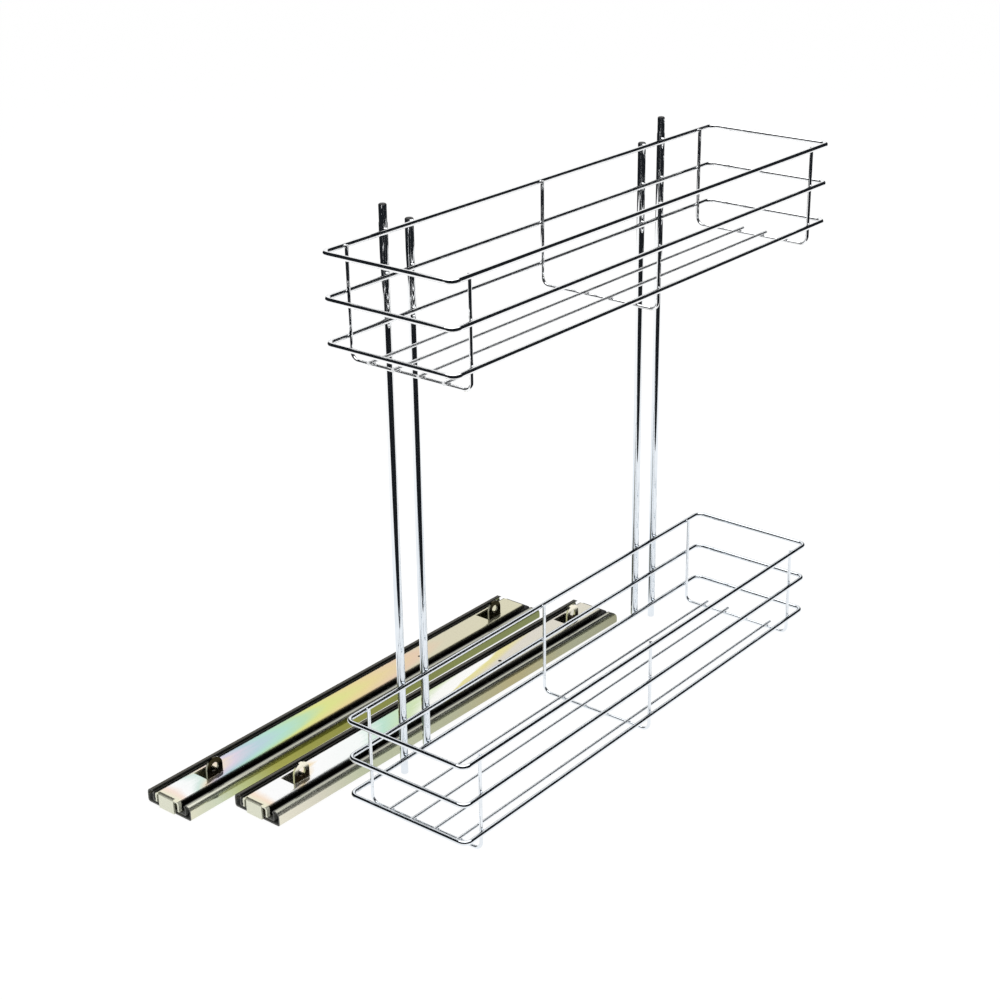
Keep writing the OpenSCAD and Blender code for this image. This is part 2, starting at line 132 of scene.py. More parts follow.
class Graph:
    """A material's node tree, with short ways to add and join its nodes."""

    def __init__(self, name: str) -> None:
        """Starts an empty material.

        Args:
            name: The material's name.
        """
        self.material = bpy.data.materials.new(name)
        self.material.use_nodes = True
        self.tree = self.material.node_tree
        self.tree.nodes.clear()
        self.out = self.add("ShaderNodeOutputMaterial")
        texture = self.add("ShaderNodeTexCoord")
        self.place = texture.outputs["Object"]
        self.normal = texture.outputs["Normal"]

    def add(self, kind: str, **values: object) -> bpy.types.Node:
        """Adds one node.

        Args:
            kind: Blender's name for the node.
            **values: Properties of the node, or, where it has none of that name, its inputs.

        Returns:
            The new node.
        """
        node = self.tree.nodes.new(kind)
        for key, value in values.items():
            if hasattr(node, key):
                setattr(node, key, value)
            else:
                node.inputs[key.replace("_", " ")].default_value = value
        return node

    def join(self, source: object, target: object) -> None:
        """Joins an output to an input."""
        self.tree.links.new(source, target)

    def moved(self, source: object, move: Triple, turn: float) -> object:
        """Turns coordinates round the upright axis, and then moves them.

        Args:
            source: The output with the coordinates.
            move: What is added after turning.
            turn: The turn in radians, anticlockwise from above.

        Returns:
            The output with the new coordinates.
        """
        node = self.add("ShaderNodeMapping", Location=move, Rotation=(0, 0, turn))
        self.join(source, node.inputs["Vector"])
        return node.outputs["Vector"]

    def scaled(self, source: object, scale: Triple) -> object:
        """Scales coordinates on each axis.

        Args:
            source: The output with the coordinates.
            scale: The scale on each axis.

        Returns:
            The output with the scaled coordinates.
        """
        node = self.add("ShaderNodeMapping", Scale=scale)
        self.join(source, node.inputs["Vector"])
        return node.outputs["Vector"]

    def axes(self, source: object) -> tuple[object, object, object]:
        """Splits a vector.

        Args:
            source: The output with the vector.

        Returns:
            The outputs with its X, Y and Z.
        """
        node = self.add("ShaderNodeSeparateXYZ")
        self.join(source, node.inputs["Vector"])
        return node.outputs["X"], node.outputs["Y"], node.outputs["Z"]

    def noise(self, vector: object, scale: float, detail: float = 2.0) -> object:
        """Gives a noise's factor.

        Args:
            vector: The coordinates to read.
            scale: The noise's scale.
            detail: Its octaves.

        Returns:
            The output with the factor.
        """
        node = self.add("ShaderNodeTexNoise", Scale=scale, Detail=detail)
        self.join(vector, node.inputs["Vector"])
        return node.outputs["Fac"]

    def ramp(self, factor: object, stops: Film) -> object:
        """Turns a factor into colours.

        Args:
            factor: The output with the factor.
            stops: Places from 0 to 1 and their colours.

        Returns:
            The output with the colour.
        """
        node = self.add("ShaderNodeValToRGB")
        band = node.color_ramp
        while len(band.elements) < len(stops):
            band.elements.new(0.5)
        for element, (place, colour) in zip(band.elements, stops):
            element.position = place
            element.color = (*colour, 1)
        self.join(factor, node.inputs["Fac"])
        return node.outputs["Color"]

    def math(self, operation: str, *terms: object) -> object:
        """Joins outputs and numbers by one sum.

        Args:
            operation: Blender's name for the sum.
            *terms: Its terms, each an output or a number.

        Returns:
            The output with the result.
        """
        node = self.add("ShaderNodeMath", operation=operation)
        for count, term in enumerate(terms):
            if isinstance(term, (int, float)):
                node.inputs[count].default_value = term
            else:
                self.join(term, node.inputs[count])
        return node.outputs["Value"]

    def step(self, factor: object, off: float, on: float) -> object:
        """Gives 0 up to one value of a factor and 1 from another, with a soft step between.

        Args:
            factor: The output with the factor.
            off: The value that gives 0.
            on: The value that gives 1.

        Returns:
            The output with the step.
        """
        node = self.add("ShaderNodeMapRange", interpolation_type="SMOOTHSTEP")
        node.inputs["From Min"].default_value = off
        node.inputs["From Max"].default_value = on
        self.join(factor, node.inputs["Value"])
        return node.outputs["Result"]

    def mix(self, factor: object, first: object, second: Colour) -> object:
        """Mixes a plain colour over another one.

        Args:
            factor: The output with the second colour's share.
            first: The output with the first colour.
            second: The second colour.

        Returns:
            The output with the mixed colour.
        """
        node = self.add("ShaderNodeMix", data_type="RGBA")
        self.join(factor, node.inputs[MIX_FACTOR])
        self.join(first, node.inputs[MIX_COLOURS[0]])
        node.inputs[MIX_COLOURS[1]].default_value = (*second, 1)
        return node.outputs[MIXED_COLOUR]

    def blend(self, factor: object, first: object | float, second: float) -> object:
        """Mixes a plain value over another one.

        Args:
            factor: The output with the second value's share.
            first: The output with the first value, or a plain one.
            second: The second value.

        Returns:
            The output with the mixed value.
        """
        node = self.add("ShaderNodeMix", data_type="FLOAT")
        self.join(factor, node.inputs[MIX_FACTOR])
        if isinstance(first, float):
            node.inputs[MIX_VALUES[0]].default_value = first
        else:
            self.join(first, node.inputs[MIX_VALUES[0]])
        node.inputs[MIX_VALUES[1]].default_value = second
        return node.outputs[MIXED_VALUE]

    def spread(self, factor: object, low: float, high: float) -> object:
        """Maps a factor onto a range of values.

        Args:
            factor: The output with a factor from 0 to 1.
            low: The value at 0.
            high: The value at 1.

        Returns:
            The output with the value.
        """
        node = self.add("ShaderNodeMapRange", To_Min=low, To_Max=high)
        self.join(factor, node.inputs["Value"])
        return node.outputs["Result"]

    def bump(self, height: object, depth: float) -> object:
        """Turns a height into a normal.

        Args:
            height: The output with the height from 0 to 1.
            depth: The height's size in metres.

        Returns:
            The output with the normal.
        """
        node = self.add("ShaderNodeBump", Distance=depth, Strength=1.0)
        self.join(height, node.inputs["Height"])
        return node.outputs["Normal"]


@dataclass(frozen=True)
class ChromeFinish:
    """Bright chrome on steel wire, with fine scuffs and a faint waviness, bluer near the floor as
    a painted reflection.

    Faces that look up can be painted dark: painted shade on the rods' cut ends.
    """

    name: str
    tint: Colour
    high_tint: Colour = (0.94, 0.95, 0.96)
    roughness: tuple[float, float] = (0.02, 0.06)
    scuff_scale: float = 900.0
    scuff_detail: float = 3.0
    wave_scale: float = 60.0
    wave_depth: float = 0.0000012
    wave_band: tuple[float, float] = (0.35, 0.65)
    dull_share: float = 0.93
    tint_low: float = 0.12
    tint_high: float = 0.32
    # Painted shade for faces that look up.
    shaded_tops: bool = False
    cut_shade_colour: Colour = (0.05, 0.05, 0.05)
    cut_roughness: float = 0.5
    cut_facing: tuple[float, float] = (0.3, 0.6)

    def build(self) -> bpy.types.Material:
        """Builds the material.

        Returns:
            The material.
        """
        graph = Graph(self.name)
        shader = graph.add("ShaderNodeBsdfPrincipled", Metallic=1.0)
        scuffs = graph.noise(graph.place, self.scuff_scale, self.scuff_detail)
        waves = graph.noise(graph.place, self.wave_scale)
        dull = tuple(part * self.dull_share for part in self.tint)
        colour = graph.ramp(waves, tuple(zip(self.wave_band, (dull, self.tint))))
        # Painted reflection: the tint is bluer near the floor and paler higher up.
        rise = graph.step(graph.axes(graph.place)[2], self.tint_low, self.tint_high)
        colour = graph.mix(rise, colour, self.high_tint)
        rough = graph.spread(scuffs, *self.roughness)
        # Painted shade: faces that look up are painted dark.
        if self.shaded_tops:
            top = graph.step(graph.axes(graph.normal)[2], *self.cut_facing)
            colour = graph.mix(top, colour, self.cut_shade_colour)
            rough = graph.blend(top, rough, self.cut_roughness)
        graph.join(colour, shader.inputs["Base Color"])
        graph.join(rough, shader.inputs["Roughness"])
        graph.join(graph.bump(waves, self.wave_depth), shader.inputs["Normal"])
        graph.join(shader.outputs["BSDF"], graph.out.inputs["Surface"])
        return graph.material


@dataclass(frozen=True)
class Span:
    """What lies between two places on one axis of a runner, with soft edges."""

    axis: Axis
    low: float = -BEYOND
    high: float = BEYOND
    soft: float = 0.0003

    def inside(self, graph: Graph, here: object) -> object:
        """Gives 1 where a place on the span's axis lies in the span, and 0 elsewhere."""
        return graph.math("MULTIPLY", graph.step(here, self.low, self.low + self.soft),
                          graph.step(here, self.high, self.high - self.soft))


@dataclass(frozen=True)
class Patch:
    """A stretch of a runner with a look of its own, where all its spans meet."""

    colour: Colour
    roughness: float
    spans: tuple[Span, ...]
    metal: float = 1.0


@dataclass(frozen=True)
class Lie:
    """How a runner lies on the floor: the middle of its channel, its turn and its length."""

    middle: Vector
    turn: float
    length: float

    @classmethod
    def of(cls, side: Side) -> "Lie":
        """Works a runner's lie out from its slide's axis and the box round its channel.

        Args:
            side: The runner.

        Returns:
            Its lie.
        """
        slide = next(joint for joint in frame["joints"]
                     if joint["name"] == f"{side.value}_middle_slide")
        turn = math.atan2(-slide["axis"][0], -slide["axis"][1])
        low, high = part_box(f"{side.value}_channel")
        size = high - low
        length = ((size.y * math.cos(turn) - size.x * math.sin(turn))
                  / math.cos(2 * turn))
        return cls((low + high) / 2, turn, length)

    def local(self, graph: Graph) -> object:
        """Gives coordinates with X across from the runner's middle and Y along from its front."""
        turned = Matrix.Rotation(self.turn, 3, "Z") @ self.middle
        return graph.moved(graph.place, (-turned.x, self.length / 2 - turned.y, 0), self.turn)


@dataclass(frozen=True)
class ZincFinish:
    """Zinc plate with a yellow passivation, whose film shows bands of colour along the runner;
    the pure white bands among them are painted highlights.

    The bands are moved by shares of the runner's length: tilt leans them, bow curves them, fan
    leans those in its rear part, and warp and streak make them cloudy and streaky. All this sets
    in over the stretch settle behind the front.
    """

    name: str
    lie: Lie
    stops: Film
    patches: tuple[Patch, ...] = ()
    tilt: float = 0.0
    bow: float = 0.0
    fan: float = 0.0
    fan_start_share: float = 0.38
    fan_end_share: float = 0.60
    half_width: float = 0.0105
    warp: float = 0.10
    cloud_scale: float = 26.0
    cloud_detail: float = 3.0
    cloud_stretch: Triple = (1.0, 0.4, 1.0)
    streak: float = 0.05
    streak_scale: float = 320.0
    streak_stretch: Triple = (1.0, 0.04, 1.0)
    settle: float = 0.05
    roughness: tuple[float, float] = (0.13, 0.18)
    grain_scale: float = 260.0
    grain_stretch: Triple = (1.0, 0.02, 1.0)
    grain_depth: float = 0.000001
    film_metal: float = 0.82
    cut_share: float = 1.0
    # Painted shade on the cut ends of the sheet.
    cut_shade_colour: Colour = (0.08, 0.08, 0.07)
    cut_roughness: float = 0.5
    cut_metal: float = 0.0
    cut_facing: tuple[float, float] = (0.9, 0.97)

    def film_place(self, graph: Graph, local: object) -> object:
        """Works out how far along its bands of colour the film is.

        Args:
            graph: The material's graph.
            local: The output with the runner's own coordinates.

        Returns:
            The output with the place from 0 to 1.
        """
        length = self.lie.length
        side, along, _ = graph.axes(local)
        cloud = graph.noise(graph.scaled(local, self.cloud_stretch), self.cloud_scale,
                            self.cloud_detail)
        lines = graph.noise(graph.scaled(local, self.streak_stretch), self.streak_scale)
        across = graph.math("DIVIDE", side, self.half_width)
        square = graph.math("MULTIPLY", across, across)
        late = graph.step(along, self.fan_start_share * length, self.fan_end_share * length)
        shift = graph.math("MULTIPLY_ADD", cloud, self.warp, -(self.warp + self.streak) / 2)
        shift = graph.math("MULTIPLY_ADD", lines, self.streak, shift)
        shift = graph.math("MULTIPLY_ADD", across, self.tilt, shift)
        shift = graph.math("MULTIPLY_ADD", square, self.bow, shift)
        shift = graph.math("MULTIPLY_ADD", graph.math("MULTIPLY", across, late), self.fan, shift)
        return graph.math("MULTIPLY_ADD", shift, graph.step(along, 0.0, self.settle),
                          graph.math("DIVIDE", along, length))

    def shaded_cut_ends(self, graph: Graph) -> object:
        """Gives 1 on the cut ends of the sheet, which face along the runner and are painted dark
        as painted shade, and 0 elsewhere.
        """
        along = graph.math("ABSOLUTE", graph.axes(graph.normal)[1])
        return graph.math("MULTIPLY", graph.step(along, *self.cut_facing), self.cut_share)

    def build(self) -> bpy.types.Material:
        """Builds the material.

        Returns:
            The material.
        """
        graph = Graph(self.name)
        shader = graph.add("ShaderNodeBsdfPrincipled")
        local = self.lie.local(graph)
        rolled = graph.noise(graph.scaled(local, self.grain_stretch), self.grain_scale)
        colour = graph.ramp(self.film_place(graph, local), self.stops)
        rough = graph.spread(rolled, *self.roughness)
        metal = self.film_metal
        across, along, up = graph.axes(local)
        places = {Axis.ACROSS: across, Axis.ALONG: along, Axis.UP: up,
                  Axis.ASIDE: graph.math("ABSOLUTE", across),
                  Axis.AHEAD: graph.math("MULTIPLY", graph.axes(graph.normal)[1], FORWARDS)}
        for patch in self.patches:
            mask = 1.0
            for span in patch.spans:
                mask = graph.math("MULTIPLY", mask, span.inside(graph, places[span.axis]))
            colour = graph.mix(mask, colour, patch.colour)
            rough = graph.blend(mask, rough, patch.roughness)
            metal = graph.blend(mask, metal, patch.metal)
        # Painted shade: the cut ends are painted dark.
        ends = self.shaded_cut_ends(graph)
        graph.join(graph.mix(ends, colour, self.cut_shade_colour), shader.inputs["Base Color"])
        graph.join(graph.blend(ends, rough, self.cut_roughness), shader.inputs["Roughness"])
        graph.join(graph.blend(ends, metal, self.cut_metal), shader.inputs["Metallic"])
        graph.join(graph.bump(rolled, self.grain_depth), shader.inputs["Normal"])
        graph.join(shader.outputs["BSDF"], graph.out.inputs["Surface"])
        return graph.material


@dataclass(frozen=True)
class SteelFinish:
    """Plain steel: cages and balls."""

    name: str
    colour: Colour
    roughness: tuple[float, float]
    grain_scale: float
    grain_detail: float = 3.0
    grain_band: tuple[float, float] = (0.3, 0.7)
    dull_share: float = 0.8

    def build(self) -> bpy.types.Material:
        """Builds the material.

        Returns:
            The material.
        """
        graph = Graph(self.name)
        shader = graph.add("ShaderNodeBsdfPrincipled", Metallic=1.0)
        grain = graph.noise(graph.place, self.grain_scale, self.grain_detail)
        dull = tuple(part * self.dull_share for part in self.colour)
        graph.join(graph.ramp(grain, tuple(zip(self.grain_band, (dull, self.colour)))),
                   shader.inputs["Base Color"])
        graph.join(graph.spread(grain, *self.roughness), shader.inputs["Roughness"])
        graph.join(shader.outputs["BSDF"], graph.out.inputs["Surface"])
        return graph.material


@dataclass(frozen=True)
class RubberFinish:
    """Black moulded rubber."""

    name: str
    colour: Colour
    roughness: float = 0.7
    grain_scale: float = 700.0
    grain_detail: float = 4.0
    grain_band: tuple[float, float] = (0.35, 0.7)
    grain_depth: float = 0.00004
    pale_share: float = 1.8

    def build(self) -> bpy.types.Material:
        """Builds the material.

        Returns:
            The material.
        """
        graph = Graph(self.name)
        shader = graph.add("ShaderNodeBsdfPrincipled", Roughness=self.roughness)
        grain = graph.noise(graph.place, self.grain_scale, self.grain_detail)
        pale = tuple(part * self.pale_share for part in self.colour)
        graph.join(graph.ramp(grain, tuple(zip(self.grain_band, (self.colour, pale)))),
                   shader.inputs["Base Color"])
        graph.join(graph.bump(grain, self.grain_depth), shader.inputs["Normal"])
        graph.join(shader.outputs["BSDF"], graph.out.inputs["Surface"])
        return graph.material


def dress(node: str, material: bpy.types.Material) -> None:
    """Puts one material all over a CAD node.

    Args:
        node: The node's name.
        material: Its new material.
    """
    for slot in frame["nodes"][node].material_slots:
        slot.material = material
    LOG.info("dressed %s with %s", node, material.name)


def new_piece(name: str, shape: bmesh.types.BMesh, body: str,
              material: bpy.types.Material) -> bpy.types.Object:
    """Makes a finished mesh a piece of the object.

    Args:
        name: The piece's name.
        shape: Its mesh, in metres, where it belongs.
        body: The CAD body that it rides on.
        material: Its material.

    Returns:
        The new object.
    """
    mesh = bpy.data.meshes.new(name)
    shape.to_mesh(mesh)
    shape.free()
    mesh.polygons.foreach_set("use_smooth", [True] * len(mesh.polygons))
    piece = bpy.data.objects.new(name, mesh)
    bpy.context.scene.collection.objects.link(piece)
    mesh.materials.append(material)
    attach(piece, body)
    LOG.info("made %s with %d faces", name, len(mesh.polygons))
    return piece


@dataclass
class Basket:
    """One tier: three rails, three legs and four floor wires, welded where they cross.

    A nugget's radius is nugget_share of its wire's width, and flat_share is how thick it is.
    """

    tier: Tier
    wire: bpy.types.Material
    floor_wire: bpy.types.Material
    nugget_share: float = 0.62
    flat_share: float = 0.6

    RAILS: ClassVar[tuple[str, ...]] = ("bottom_rail", "middle_rail", "top_rail")
    LEGS: ClassVar[tuple[str, ...]] = ("front_leg", "centre_leg", "rear_leg")
    FLOOR_WIRES: ClassVar[int] = 4

    def node(self, part: str) -> str:
        """Gives the name of one of this tier's CAD nodes."""
        return f"{self.tier.value}_{part}"

    def floor_wires(self) -> list[str]:
        """Lists the tier's floor wires."""
        return [self.node(f"floor_wire_{count}") for count in range(1, self.FLOOR_WIRES + 1)]

    def crossings(self) -> list[tuple[Vector, Vector, float]]:
        """Finds the welds.

        Returns:
            For each weld its place, the direction from one wire's middle to the other's, and its
            radius.
        """
        found = []
        for leg in self.LEGS:
            leg_low, leg_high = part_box(self.node(leg))
            leg_radius = (leg_high[1] - leg_low[1]) / 2
            leg_y = (leg_high[1] + leg_low[1]) / 2
            for rail in self.RAILS:
                low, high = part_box(self.node(rail))
                z = (low[2] + high[2]) / 2
                for x, inwards in ((leg_low[0], -1), (leg_high[0], 1)):
                    found.append((Vector((x, leg_y, z)), Vector((inwards, 0, 0)), leg_radius))
            for wire in self.floor_wires():
                low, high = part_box(wire)
                x = (low[0] + high[0]) / 2
                found.append((Vector((x, leg_y, low[2])), Vector((0, 0, 1)), leg_radius))
        return found

    def build(self) -> None:
        """Dresses the wires and adds the weld nuggets between them."""
        for part in (*self.RAILS, *self.LEGS):
            dress(self.node(part), self.wire)
        for wire in self.floor_wires():
            dress(wire, self.floor_wire)
        shape = bmesh.new()
        for place, across, radius in self.crossings():
            add_nugget(shape, place, across, 2 * radius * self.nugget_share, self.flat_share)
        new_piece(self.node("weld_nuggets"), shape, BODY, self.wire)


def add_nugget(shape: bmesh.types.BMesh, place: Vector, across: Vector, radius: float,
               flat_share: float) -> None:
    """Adds the melted lens of metal at one weld.

    Args:
        shape: The mesh that it is added to.
        place: The weld's middle.
        across: The direction from one wire to the other, along which the lens is flat.
        radius: The lens's radius.
        flat_share: Its thickness as a share of its width.
    """
    turn = across.to_track_quat("Z", "Y").to_matrix().to_4x4()
    flat = Matrix.Diagonal((1, 1, flat_share, 1))
    bmesh.ops.create_icosphere(shape, subdivisions=NUGGET_SUBDIVISIONS, radius=radius,
                               matrix=Matrix.Translation(place) @ turn @ flat)


@dataclass
class Uprights:
    """The four rods, welded to the rails of both tiers."""

    steel: bpy.types.Material
    weld: bpy.types.Material
    nugget_radius: float = 0.0019
    flat_share: float = 0.6

    RODS: ClassVar[tuple[str, ...]] = (
        "front_outer_rod", "front_inner_rod", "rear_inner_rod", "rear_outer_rod")

    def build(self) -> None:
        """Dresses the rods and adds their welds."""
        shape = bmesh.new()
        for rod in self.RODS:
            dress(rod, self.steel)
            low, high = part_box(rod)
            y = (low[1] + high[1]) / 2
            for tier in Tier:
                for rail in Basket.RAILS:
                    rail_low, rail_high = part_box(f"{tier.value}_{rail}")
                    place = Vector((high[0], y, (rail_low[2] + rail_high[2]) / 2))
                    add_nugget(shape, place, Vector((1, 0, 0)), self.nugget_radius,
                               self.flat_share)
        new_piece("rod_weld_nuggets", shape, BODY, self.weld)


@dataclass
class Runner:
    """One telescopic runner: channel, middle member, drawer member, cages, balls and buffer.

    Lengths are in metres, across, along and up from the foot of the runner's front end.
    """

    side: Side
    wall_film: Film
    # The face's bands include pure white painted highlights.
    face_film_and_highlights: Film
    # Painted light: the lugs are lit or shaded copies of the zinc, with painted shade at their
    # roots and a painted highlight on their front edges.
    lug_light_and_shade: Colour
    lug_shade: Colour
    lug_edge_highlight: Colour
    lug_roughness: float
    tilt: float
    bow: float
    fan: float
    cage: bpy.types.Material
    balls: bpy.types.Material
    rubber: bpy.types.Material
    # Painted shade for the races, the sheet's edges and the drawer member's bent sides, paler at
    # the mouth at the front.
    painted_shade: Colour = (0.035, 0.035, 0.030)
    painted_shade_roughness: float = 0.5
    race_inside: float = 0.0119
    race_outside: float = 0.0218
    race_top: float = 0.0090
    mouth_shade_colour: Colour = (0.12, 0.125, 0.115)
    mouth_depth: float = 0.006
    mouth_soft: float = 0.002
    # Painted shade on the lips, darker on the far lip.
    lip_shade_colour: Colour = (0.44, 0.44, 0.37)
    lip_roughness: float = 0.15
    lip_foot: float = 0.0098
    lip_soft: float = 0.001
    lip_edge: float = 0.0182
    far_lip_shade_colour: Colour = (0.10, 0.09, 0.065)
    far_lip_roughness: float = 0.25
    far_lip_side: float = -0.0165
    bend_side: float = 0.0092
    bend_soft: float = 0.0030
    bend_roughness: float = 0.4
    lug_foot: float = 0.01272
    lug_soft: float = 0.0001
    shade_top: float = 0.0196
    shade_soft: float = 0.0008
    shade_roughness: float = 0.3
    edge_roughness: float = 0.3
    edge_metal: float = 0.30
    edge_ahead: float = 0.6
    edge_soft: float = 0.2
    tab_colour: Colour = (0.78, 0.79, 0.64)
    tab_roughness: float = 0.3
    tab_metal: float = 0.45
    tab_front: float = 0.0012
    tab_top: float = 0.0122

    def node(self, part: str) -> str:
        """Gives the name of one of this runner's CAD nodes."""
        return f"{self.side.value}_{part}"

    def wall_patches(self) -> tuple[Patch, ...]:
        """Lists the patches of the channel and the middle member.

        Returns:
            The lips and the darker lip on the far side, in painted shade; the races and edges,
            painted near black as painted shade; and the mouth at the front, where that painted
            shade is paler.
        """
        return (
            # Painted shade on the lips, darker on the far lip.
            Patch(self.lip_shade_colour, self.lip_roughness,
                  (Span(Axis.UP, low=self.lip_foot, soft=self.lip_soft),)),
            Patch(self.far_lip_shade_colour, self.far_lip_roughness,
                  (Span(Axis.UP, low=self.lip_foot),
                   Span(Axis.ACROSS, high=self.far_lip_side))),
            # Painted shade: the races and edges are painted near black, paler at the mouth.
            Patch(self.painted_shade, self.painted_shade_roughness,
                  (Span(Axis.ASIDE, self.race_inside, self.race_outside),
                   Span(Axis.UP, high=self.race_top)), metal=0.0),
            Patch(self.painted_shade, self.painted_shade_roughness,
                  (Span(Axis.ASIDE, self.race_inside, self.lip_edge),), metal=0.0),
            Patch(self.mouth_shade_colour, self.painted_shade_roughness,
                  (Span(Axis.ASIDE, self.race_inside, self.race_outside),
                   Span(Axis.UP, high=self.race_top),
                   Span(Axis.ALONG, high=self.mouth_depth, soft=self.mouth_soft)), metal=0.0),
        )

    def face_patches(self) -> tuple[Patch, ...]:
        """Lists the patches of the drawer member.

        Returns:
            The bent sides in painted shade, the lugs in painted light and shade, their roots in
            painted shade, their front edges in a painted highlight, and the front tab.
        """
        return (
            # Painted shade on the bent sides.
            Patch(self.painted_shade, self.bend_roughness,
                  (Span(Axis.ASIDE, low=self.bend_side, soft=self.bend_soft),)),
            # Painted light and shade on the lugs, painted shade at their roots and a painted
            # highlight on their front edges.
            Patch(self.lug_light_and_shade, self.lug_roughness,
                  (Span(Axis.UP, low=self.lug_foot, soft=self.lug_soft),)),
            Patch(self.lug_shade, self.shade_roughness,
                  (Span(Axis.UP, self.lug_foot, self.shade_top, self.shade_soft),)),
            Patch(self.lug_edge_highlight, self.edge_roughness,
                  (Span(Axis.UP, low=self.lug_foot, soft=self.lug_soft),
                   Span(Axis.AHEAD, low=self.edge_ahead, soft=self.edge_soft)),
                  self.edge_metal),
            Patch(self.tab_colour, self.tab_roughness,
                  (Span(Axis.ALONG, high=self.tab_front), Span(Axis.UP, high=self.tab_top)),
                  self.tab_metal),
        )

    def build(self) -> None:
        """Dresses the runner's nodes."""
        lie = Lie.of(self.side)
        wall = ZincFinish(self.node("wall_zinc"), lie, self.wall_film,
                          self.wall_patches()).build()
        face = ZincFinish(self.node("face_zinc"), lie, self.face_film_and_highlights, self.face_patches(),
                          self.tilt, self.bow, self.fan, cut_share=0.0).build()
        dress(self.node("channel"), wall)
        dress(self.node("middle_member"), wall)
        dress(self.node("drawer_member"), face)
        dress(self.node("rear_buffer"), self.rubber)
        for which in ("outer", "inner"):
            dress(self.node(f"{which}_cage"), self.cage)
            dress(self.node(f"{which}_balls"), self.balls)


